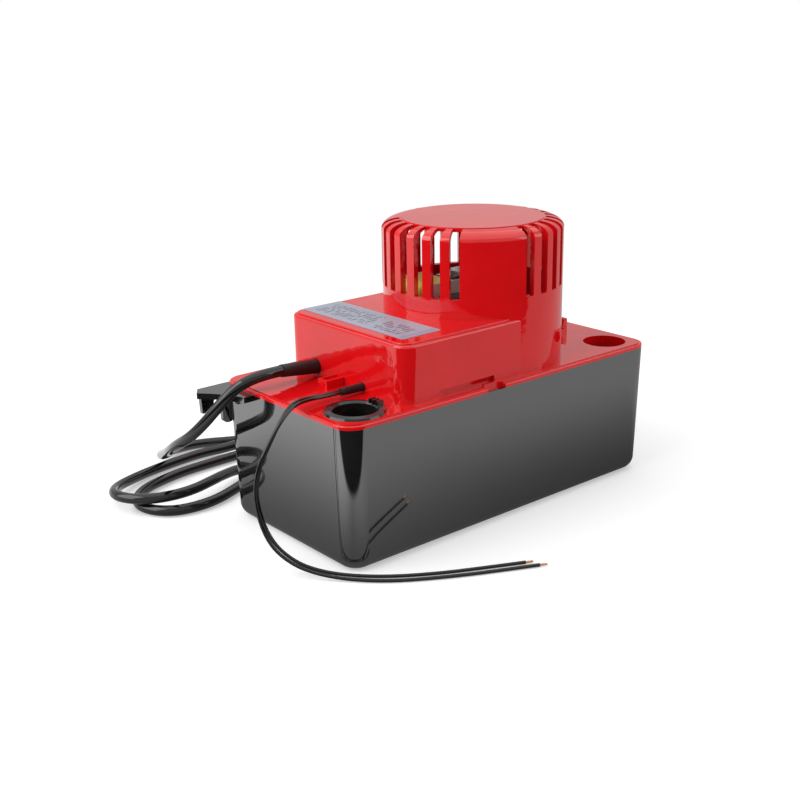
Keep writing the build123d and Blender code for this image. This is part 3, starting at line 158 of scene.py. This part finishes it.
# Second turn inside the first, then the upper loop, whose near side lies on the lower one
cord_points += turn_round(34.0, 127.0, 28.5, 3.9)
cord_points += [
    (-28.0, 104.0, 3.9),
    (-66.0, 115.0, 3.9),
    (-98.0, 121.0, 6.4),
    (-118.0, 112.0, 9.6),
    (-134.0, 103.5, 11.4),
    (-153.0, 97.0, 11.9),
    (-173.0, 98.0, 11.9),
    (-189.5, 107.0, 11.9),
    (-197.0, 121.5, 11.4),
    (-194.5, 137.0, 9.6),
    (-184.0, 150.0, 7.2),
    (-165.0, 161.5, 4.8),
    (-147.0, 168.0, 3.9),
    (-124.0, 172.0, 3.9),
    (-99.0, 174.5, 3.9),
    (-79.0, 168.0, 5.4),
    (-56.0, 159.0, 10.0),
    (-20.0, 156.5, 11.6),
    (20.0, 152.0, 11.8),
    (52.0, 142.0, 11.8),
    (74.0, 138.4, 10.4),
    (90.0, 138.0, 9.0),
]
power_lead = cord_curve("power_lead", cord_points, LEAD_RADIUS)

# The twin leads: out over the end of the tank, down beside it and over the floor in front
lead_a_points = [
    (-106.05, -20.6, 102.2), (-119.0, -20.36, 102.38), (-132.0, -20.8, 103.4), (-148.0, -26.4, 104.4),
    (-161.0, -30.8, 97.7), (-171.0, -31.1, 85.4), (-177.0, -28.4, 71.5), (-179.0, -25.8, 55.7),
    (-178.0, -27.6, 37.9), (-174.0, -31.3, 22.5), (-168.0, -36.8, 12.4), (-160.0, -47.7, 5.2),
    (-146.5, -66.0, 1.6), (-126.0, -88.0, 1.25), (-98.0, -106.0, 1.3), (-68.0, -121.5, 1.25),
    (-41.0, -134.0, 1.3),
]
lead_b_points = [
    (-106.05, -17.8, 102.2), (-118.0, -17.58, 102.36), (-130.5, -17.4, 103.4), (-145.5, -21.9, 104.7),
    (-157.5, -27.0, 98.0), (-167.0, -27.6, 84.6), (-172.5, -23.1, 69.7), (-174.5, -20.8, 53.8),
    (-173.5, -23.3, 36.4), (-169.8, -28.2, 21.7), (-164.0, -34.5, 11.9), (-156.0, -45.0, 4.8),
    (-143.0, -62.0, 1.6), (-123.0, -82.5, 1.25), (-96.0, -100.5, 1.3), (-69.0, -114.0, 1.25),
    (-45.0, -125.5, 1.3),
]
lead_a = cord_curve("safety_lead_a", lead_a_points, TWIN_RADIUS)
lead_b = cord_curve("safety_lead_b", lead_b_points, TWIN_RADIUS)

# Materials
BLEND_START, BLEND_END = 0.3, 0.7
PLASTIC_IOR = 1.5
STRIPE_BUMP = 0.6
STRIPE_TONE_SCALE = 120
# At a scale of 1 the Wave texture runs through this many radians per metre
WAVE_RADIANS = 20


def new_material(name):
    material = bpy.data.materials.new(name)
    material.use_nodes = True
    tree = material.node_tree
    return material, tree, tree.nodes["Principled BSDF"]


def value_math(tree, operation, first, second=None):
    """A Math node on numbers or sockets."""
    node = tree.nodes.new("ShaderNodeMath")
    node.operation = operation
    for socket, value in zip(node.inputs, (first, second)):
        if isinstance(value, (int, float)):
            socket.default_value = value
        elif value is not None:
            tree.links.new(value, socket)
    return node.outputs["Value"]


def noise_node(tree, scale, detail=2.0):
    """Noise in the object's own coordinates; scale is features per metre."""
    place = tree.nodes.new("ShaderNodeTexCoord")
    noise = tree.nodes.new("ShaderNodeTexNoise")
    noise.inputs["Scale"].default_value = scale
    noise.inputs["Detail"].default_value = detail
    tree.links.new(place.outputs["Object"], noise.inputs["Vector"])
    return noise


def ranged(tree, value, low, high):
    """A 0 to 1 value mapped to a range."""
    node = tree.nodes.new("ShaderNodeMapRange")
    node.inputs["To Min"].default_value = low
    node.inputs["To Max"].default_value = high
    tree.links.new(value, node.inputs["Value"])
    return node.outputs["Result"]


def blend_colours(tree, factor, low, high):
    """One colour where factor is low, the other where it is high, blended between."""
    ramp = tree.nodes.new("ShaderNodeValToRGB")
    first, last = ramp.color_ramp.elements
    first.position, last.position = BLEND_START, BLEND_END
    first.color, last.color = (*low, 1), (*high, 1)
    tree.links.new(factor, ramp.inputs["Fac"])
    return ramp.outputs["Color"]


def bump_from(tree, shader, height, strength, distance):
    bump = tree.nodes.new("ShaderNodeBump")
    bump.inputs["Strength"].default_value = strength
    bump.inputs["Distance"].default_value = distance
    tree.links.new(height, bump.inputs["Height"])
    tree.links.new(bump.outputs["Normal"], shader.inputs["Normal"])


def surface(name, low, high, rough, ior=PLASTIC_IOR, metallic=0.0, tone_scale=60, grain_scale=1500,
            grain=0.05, grain_depth=0.00005):
    """A material whose tone, gloss and grain vary a little over the surface."""
    material, tree, shader = new_material(name)
    tone = noise_node(tree, tone_scale, detail=3)
    fine = noise_node(tree, grain_scale, detail=2)
    tree.links.new(blend_colours(tree, tone.outputs["Fac"], low, high), shader.inputs["Base Color"])
    tree.links.new(ranged(tree, tone.outputs["Fac"], *rough), shader.inputs["Roughness"])
    shader.inputs["IOR"].default_value = ior
    shader.inputs["Metallic"].default_value = metallic
    bump_from(tree, shader, fine.outputs["Fac"], grain, grain_depth)
    return material


# Red, tank, cords and bushing have a higher index of refraction than such plastic, so they mirror more
red = surface("red_moulding", (0.68, 0.004, 0.006), (0.78, 0.006, 0.009), (0.03, 0.08), ior=1.65,
              tone_scale=25, grain_scale=130, grain=0.22, grain_depth=0.0006)
tank_black = surface("tank_moulding", (0.005, 0.005, 0.005), (0.009, 0.009, 0.009), (0.02, 0.06), ior=2.8,
                     tone_scale=35, grain_scale=140, grain=0.03, grain_depth=0.0003)
cord_black = surface("cord_jacket", (0.003, 0.003, 0.003), (0.007, 0.007, 0.007), (0.05, 0.10), ior=1.6,
                     tone_scale=80, grain_scale=900)
bushing_black = surface("inlet_bushing_black", (0.008, 0.008, 0.009), (0.014, 0.014, 0.015), (0.10, 0.18),
                        ior=1.6, tone_scale=120, grain_scale=600, grain=0.12)
relief_black = surface("strain_relief", (0.010, 0.011, 0.012), (0.016, 0.017, 0.018), (0.30, 0.38),
                       ior=1.45, tone_scale=120, grain_scale=700, grain=0.08)
black_plastic = surface("black_plastic", (0.010, 0.010, 0.011), (0.018, 0.018, 0.019), (0.28, 0.40))
black_rubber = surface("black_rubber", (0.009, 0.009, 0.010), (0.016, 0.016, 0.016), (0.40, 0.55))
steel = surface("zinc_steel", (0.50, 0.50, 0.50), (0.62, 0.62, 0.61), (0.25, 0.38), metallic=1.0,
                tone_scale=140)
bronze = surface("bearing_bronze", (0.42, 0.27, 0.12), (0.55, 0.37, 0.18), (0.30, 0.42), metallic=1.0,
                 tone_scale=200)
brass = surface("contact_brass", (0.70, 0.52, 0.22), (0.80, 0.62, 0.30), (0.18, 0.28), metallic=1.0,
                tone_scale=200)
copper = surface("bare_copper", (0.70, 0.34, 0.18), (0.82, 0.45, 0.26), (0.22, 0.34), metallic=1.0,
                 tone_scale=400, grain_scale=2500, grain=0.4)
nylon = surface("nylon_white", (0.72, 0.72, 0.68), (0.80, 0.80, 0.77), (0.35, 0.45))
vinyl = surface("hose_vinyl", (0.62, 0.65, 0.64), (0.72, 0.75, 0.74), (0.15, 0.25))
foam = surface("float_foam", (0.030, 0.030, 0.034), (0.050, 0.050, 0.055), (0.70, 0.85), grain_scale=900,
               grain=0.5, grain_depth=0.0003)


def striped(name, low, high, rough, axis, pitch, depth, metallic=0.0):
    """A material with fine lines across one axis, such as laminations or wound wire; pitch in metres."""
    material, tree, shader = new_material(name)
    place = tree.nodes.new("ShaderNodeTexCoord")
    wave = tree.nodes.new("ShaderNodeTexWave")
    wave.wave_type = "BANDS"
    wave.bands_direction = axis
    wave.inputs["Scale"].default_value = 2 * math.pi / (WAVE_RADIANS * pitch)
    wave.inputs["Distortion"].default_value = 0.4
    wave.inputs["Detail"].default_value = 1
    tree.links.new(place.outputs["Object"], wave.inputs["Vector"])
    tree.links.new(blend_colours(tree, wave.outputs["Fac"], low, high), shader.inputs["Base Color"])
    tone = noise_node(tree, STRIPE_TONE_SCALE)
    tree.links.new(ranged(tree, tone.outputs["Fac"], *rough), shader.inputs["Roughness"])
    shader.inputs["Metallic"].default_value = metallic
    shader.inputs["IOR"].default_value = PLASTIC_IOR
    bump_from(tree, shader, wave.outputs["Fac"], STRIPE_BUMP, depth)
    return material


lamination = striped("laminations", (0.20, 0.19, 0.16), (0.42, 0.41, 0.37), (0.35, 0.5), "Z",
                     pitch=0.0012, depth=0.0001, metallic=1.0)
winding = striped("enamelled_wire", (0.74, 0.76, 0.06), (0.90, 0.92, 0.22), (0.2, 0.3), "Y",
                  pitch=0.0012, depth=0.0002)

# Label in metres: two fields of dashed lines and a band, each as its range in x and its range in y
LABEL_FIELDS = (((-0.0735, -0.0525), (-0.004, 0.050)), ((-0.0745, -0.0560), (-0.040, -0.010)))
LABEL_BAND = ((-0.0775, -0.0475), (-0.0475, -0.043))
LABEL_LINE_PITCH = 0.0036
LABEL_LINE_BLANK = 0.64
LABEL_DASH_SCALE = 280
LABEL_DASH_BLANK = 0.45
LABEL_BAND_SHARE = 0.6
LABEL_TONE_SCALE = 60
LABEL_ROUGH = (0.28, 0.36)
LABEL_FOIL = (0.36, 0.40, 0.49)
LABEL_PRINT = (0.015, 0.020, 0.045)
LABEL_BAND_TONE = (0.20, 0.26, 0.40)


def laid_over(tree, base, colour, share):
    """A colour, or a socket that gives one, with another colour laid over it by a share."""
    mix = tree.nodes.new("ShaderNodeMix")
    mix.data_type = "RGBA"
    if isinstance(base, tuple):
        mix.inputs["A"].default_value = (*base, 1)
    else:
        tree.links.new(base, mix.inputs["A"])
    mix.inputs["B"].default_value = (*colour, 1)
    tree.links.new(share, mix.inputs["Factor"])
    return mix.outputs["Result"]


def label_material():
    """Pale foil with a faint band and plain dashes that name nothing, in place of any print."""
    material, tree, shader = new_material("label_foil")
    place = tree.nodes.new("ShaderNodeTexCoord")
    split = tree.nodes.new("ShaderNodeSeparateXYZ")
    tree.links.new(place.outputs["Object"], split.inputs["Vector"])
    y = split.outputs["Y"]

    def inside(value, limits):
        return value_math(tree, "MULTIPLY", value_math(tree, "GREATER_THAN", value, limits[0]),
                          value_math(tree, "LESS_THAN", value, limits[1]))

    def field(ranges):
        return value_math(tree, "MULTIPLY", inside(split.outputs["X"], ranges[0]), inside(y, ranges[1]))

    step = value_math(tree, "FRACT", value_math(tree, "MULTIPLY", y, 1 / LABEL_LINE_PITCH))
    lines = value_math(tree, "GREATER_THAN", step, LABEL_LINE_BLANK)
    fields = value_math(tree, "MAXIMUM", field(LABEL_FIELDS[0]), field(LABEL_FIELDS[1]))
    gaps = noise_node(tree, LABEL_DASH_SCALE, detail=0)
    dashes = value_math(tree, "GREATER_THAN", gaps.outputs["Fac"], LABEL_DASH_BLANK)
    print_share = value_math(tree, "MULTIPLY", value_math(tree, "MULTIPLY", lines, fields), dashes)
    band_share = value_math(tree, "MULTIPLY", field(LABEL_BAND), LABEL_BAND_SHARE)
    printed = laid_over(tree, LABEL_FOIL, LABEL_PRINT, print_share)
    tree.links.new(laid_over(tree, printed, LABEL_BAND_TONE, band_share), shader.inputs["Base Color"])
    tone = noise_node(tree, LABEL_TONE_SCALE)
    tree.links.new(ranged(tree, tone.outputs["Fac"], *LABEL_ROUGH), shader.inputs["Roughness"])
    return material


label = label_material()
node_materials = {
    tank_black: ["tank", "tank_ear_far", "tank_ear_near"],
    red: ["tank_lid", "motor_cover", "cable_clamp"],
    bushing_black: ["inlet_bushing"],
    label: ["name_plate"],
    cord_black: ["plug_body"],
    relief_black: ["cord_strain_relief", "lead_sleeve"],
    black_plastic: ["cooling_fan", "pump_column", "pump_volute", "inlet_plate", "check_valve_body",
                    "check_valve_nut", "discharge_barb", "switch_lever", "switch_bracket", "run_switch",
                    "safety_switch", "hank_tie"],
    black_rubber: ["shaft_slinger", "check_valve_gasket", "check_valve_poppet"],
    steel: ["motor_shaft", "upper_bracket", "lower_bracket", "motor_screws", "pump_screws", "pivot_pin"],
    bronze: ["upper_bearing", "lower_bearing"],
    brass: ["plug_blades"],
    copper: ["lead_strips"],
    nylon: ["coil_bobbin", "impeller", "float_rod", "run_switch_button", "safety_switch_button"],
    vinyl: ["discharge_hose"],
    foam: ["float_block"],
    lamination: ["stator_core", "rotor_core"],
    winding: ["coil_winding"],
}
for material, names in node_materials.items():
    for name in names:
        mesh = nodes[name].data
        mesh.materials.clear()
        mesh.materials.append(material)
for obj in (power_lead, lead_a, lead_b):
    obj.data.materials.append(cord_black)

for obj, replaced in ((power_lead, ("power_cord", "power_cord_hank")), (lead_a, ("switch_lead_a",)),
                      (lead_b, ("switch_lead_b",))):
    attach(obj, "housing")
    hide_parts(*replaced)

# Floor, world and lamps. Camera and transmission rays see a white card under a white world. Glossy rays
# see a darker world and a floor painted for them, so reflections show another background than the camera.
AMBIENT = 0.42
GLOSSY_SHARE = 0.3
CARD_TONE = 0.80
FLOOR_LIFT = 0.38
FLOOR_REACH = 8.0
FLOOR_DROP = 0.0002
FADE_START, FADE_END = 0.35, 0.95

# The floor's painted brightness in reflections, in metres: from SIDE_START to SIDE_END across the
# diagonal the painted light grows from SIDE_LOW, away from the object's footprint the painted shade lifts
# from BESIDE_LOW, and past PAINTED_SHEET_EDGE a painted dark sheet falls to PAINTED_SHEET_TONE.
# PAINTED_SHEET_X and PAINTED_SHEET_Y point from the origin towards the camera, fixed in the world.
DIAGONAL = 0.707
SIDE_START, SIDE_END, SIDE_LOW = -0.14, 0.20, 0.50
FOOTPRINT_X, FOOTPRINT_Y = 0.139, 0.062
BESIDE_REACH, BESIDE_LOW = 0.17, 0.25
PAINTED_SHEET_X, PAINTED_SHEET_Y = -0.639, -0.769
PAINTED_SHEET_EDGE, PAINTED_SHEET_BLUR, PAINTED_SHEET_TONE = 0.232, 0.02, 0.03

# Lamps: name, place and size in metres, power in watts
LAMPS = (
    ("key_left", (-1.20, 0.42, 0.95), 1.5, 17.0),
    ("top", (0.1, 0.2, 1.5), 2.4, 11.0),
    ("fill_front", (0.95, -1.20, 0.75), 1.1, 5.0),
)
LAMP_TARGET = (0, 0, 0.08)


def smooth_range(tree, value, start, end, low=0.0, high=1.0):
    """A value that goes smoothly from low at start to high at end."""
    node = tree.nodes.new("ShaderNodeMapRange")
    node.interpolation_type = "SMOOTHSTEP"
    for socket, number in (("From Min", start), ("From Max", end), ("To Min", low), ("To Max", high)):
        node.inputs[socket].default_value = number
    tree.links.new(value, node.inputs["Value"])
    return node.outputs["Result"]


def emitted(tree, strength):
    node = tree.nodes.new("ShaderNodeEmission")
    tree.links.new(strength, node.inputs["Strength"])
    return node.outputs["Emission"]


def mixed_shader(tree, share, first, second):
    """The first shader with the second over it by a share."""
    mix = tree.nodes.new("ShaderNodeMixShader")
    tree.links.new(share, mix.inputs["Fac"])
    tree.links.new(first, mix.inputs[1])
    tree.links.new(second, mix.inputs[2])
    return mix.outputs["Shader"]


def weighted(tree, x, y, x_weight, y_weight):
    return value_math(tree, "ADD", value_math(tree, "MULTIPLY", x, x_weight),
                      value_math(tree, "MULTIPLY", y, y_weight))


def outside(tree, value, half):
    """How far a coordinate lies outside a range from -half to half."""
    return value_math(tree, "SUBTRACT", value_math(tree, "ABSOLUTE", value), half)


def painted_floor_reflection(tree, x, y):
    """Painted floor brightness that glossy rays see: painted light, full at the back left and lower at
    the front right, painted shade beside the object, and a painted dark sheet, nearly black, past an edge
    in front."""
    # Painted light: brighter towards the back left, lower towards the front right
    side = smooth_range(tree, weighted(tree, x, y, -DIAGONAL, DIAGONAL), SIDE_START, SIDE_END, SIDE_LOW)
    # Painted shade: darker close to the object's footprint
    distance = value_math(tree, "MAXIMUM", outside(tree, x, FOOTPRINT_X), outside(tree, y, FOOTPRINT_Y))
    beside = smooth_range(tree, distance, 0.0, BESIDE_REACH, BESIDE_LOW)
    # Painted dark sheet: nearly black past an edge towards the camera
    ahead = weighted(tree, x, y, PAINTED_SHEET_X, PAINTED_SHEET_Y)
    painted_dark_sheet = smooth_range(tree, ahead, PAINTED_SHEET_EDGE, PAINTED_SHEET_EDGE + PAINTED_SHEET_BLUR, 1.0, PAINTED_SHEET_TONE)
    return value_math(tree, "MULTIPLY", value_math(tree, "MULTIPLY", side, beside), painted_dark_sheet)


def set_world():
    """White for the camera and through clear pieces, darker in reflections and darker still as light."""
    world = bpy.data.worlds.new("studio")
    scene.world = world
    world.use_nodes = True
    tree = world.node_tree
    ambient = tree.nodes["Background"]
    ambient.inputs["Color"].default_value = WHITE
    ambient.inputs["Strength"].default_value = AMBIENT
    white = tree.nodes.new("ShaderNodeBackground")
    white.inputs["Color"].default_value = WHITE
    white.inputs["Strength"].default_value = 1.0
    path = tree.nodes.new("ShaderNodeLightPath")
    glossy = value_math(tree, "MULTIPLY", path.outputs["Is Glossy Ray"], GLOSSY_SHARE)
    shown = value_math(tree, "MAXIMUM", path.outputs["Is Camera Ray"], glossy)
    shown = value_math(tree, "MAXIMUM", shown, path.outputs["Is Transmission Ray"])
    mixed = mixed_shader(tree, shown, ambient.outputs["Background"], white.outputs["Background"])
    tree.links.new(mixed, tree.nodes["World Output"].inputs["Surface"])


def floor_material():
    """White card with the object's shadow, pure white further out; glossy rays see painted_floor_reflection."""
    material = bpy.data.materials.new("floor_white")
    material.use_nodes = True
    tree = material.node_tree
    tree.nodes.remove(tree.nodes["Principled BSDF"])
    place = tree.nodes.new("ShaderNodeTexCoord")
    split = tree.nodes.new("ShaderNodeSeparateXYZ")
    tree.links.new(place.outputs["Object"], split.inputs["Vector"])
    length = tree.nodes.new("ShaderNodeVectorMath")
    length.operation = "LENGTH"
    tree.links.new(place.outputs["Object"], length.inputs[0])
    path = tree.nodes.new("ShaderNodeLightPath")
    seen = value_math(tree, "MAXIMUM", path.outputs["Is Camera Ray"], path.outputs["Is Transmission Ray"])

    diffuse = tree.nodes.new("ShaderNodeBsdfDiffuse")
    diffuse.inputs["Color"].default_value = (CARD_TONE, CARD_TONE, CARD_TONE, 1)
    card = tree.nodes.new("ShaderNodeAddShader")
    tree.links.new(diffuse.outputs["BSDF"], card.inputs[0])
    tree.links.new(emitted(tree, value_math(tree, "MULTIPLY", seen, FLOOR_LIFT)), card.inputs[1])
    fade = smooth_range(tree, length.outputs["Value"], FADE_START, FADE_END)
    faded = value_math(tree, "MULTIPLY", seen, fade)
    outer = mixed_shader(tree, faded, card.outputs["Shader"], emitted(tree, seen))
    mirrored = emitted(tree, painted_floor_reflection(tree, split.outputs["X"], split.outputs["Y"]))
    chosen = mixed_shader(tree, path.outputs["Is Glossy Ray"], outer, mirrored)
    tree.links.new(chosen, tree.nodes["Material Output"].inputs["Surface"])
    return material


def add_floor():
    mesh = bpy.data.meshes.new("floor")
    corners = [(x * FLOOR_REACH, y * FLOOR_REACH, 0) for x, y in ((-1, -1), (1, -1), (1, 1), (-1, 1))]
    mesh.from_pydata(corners, [], [(0, 1, 2, 3)])
    mesh.materials.append(floor_material())
    floor = bpy.data.objects.new("floor", mesh)
    floor.location.z = -FLOOR_DROP
    scene.collection.objects.link(floor)


def add_lamps():
    for name, place, size, power in LAMPS:
        data = bpy.data.lights.new(name, "AREA")
        data.shape = "SQUARE"
        data.size = size
        data.energy = power
        lamp = bpy.data.objects.new(name, data)
        scene.collection.objects.link(lamp)
        lamp.location = place
        lamp.rotation_mode = "QUATERNION"
        lamp.rotation_quaternion = (Vector(LAMP_TARGET) - Vector(place)).to_track_quat("-Z", "Y")


set_world()
add_floor()
add_lamps()
scene.view_settings.view_transform = "Standard"
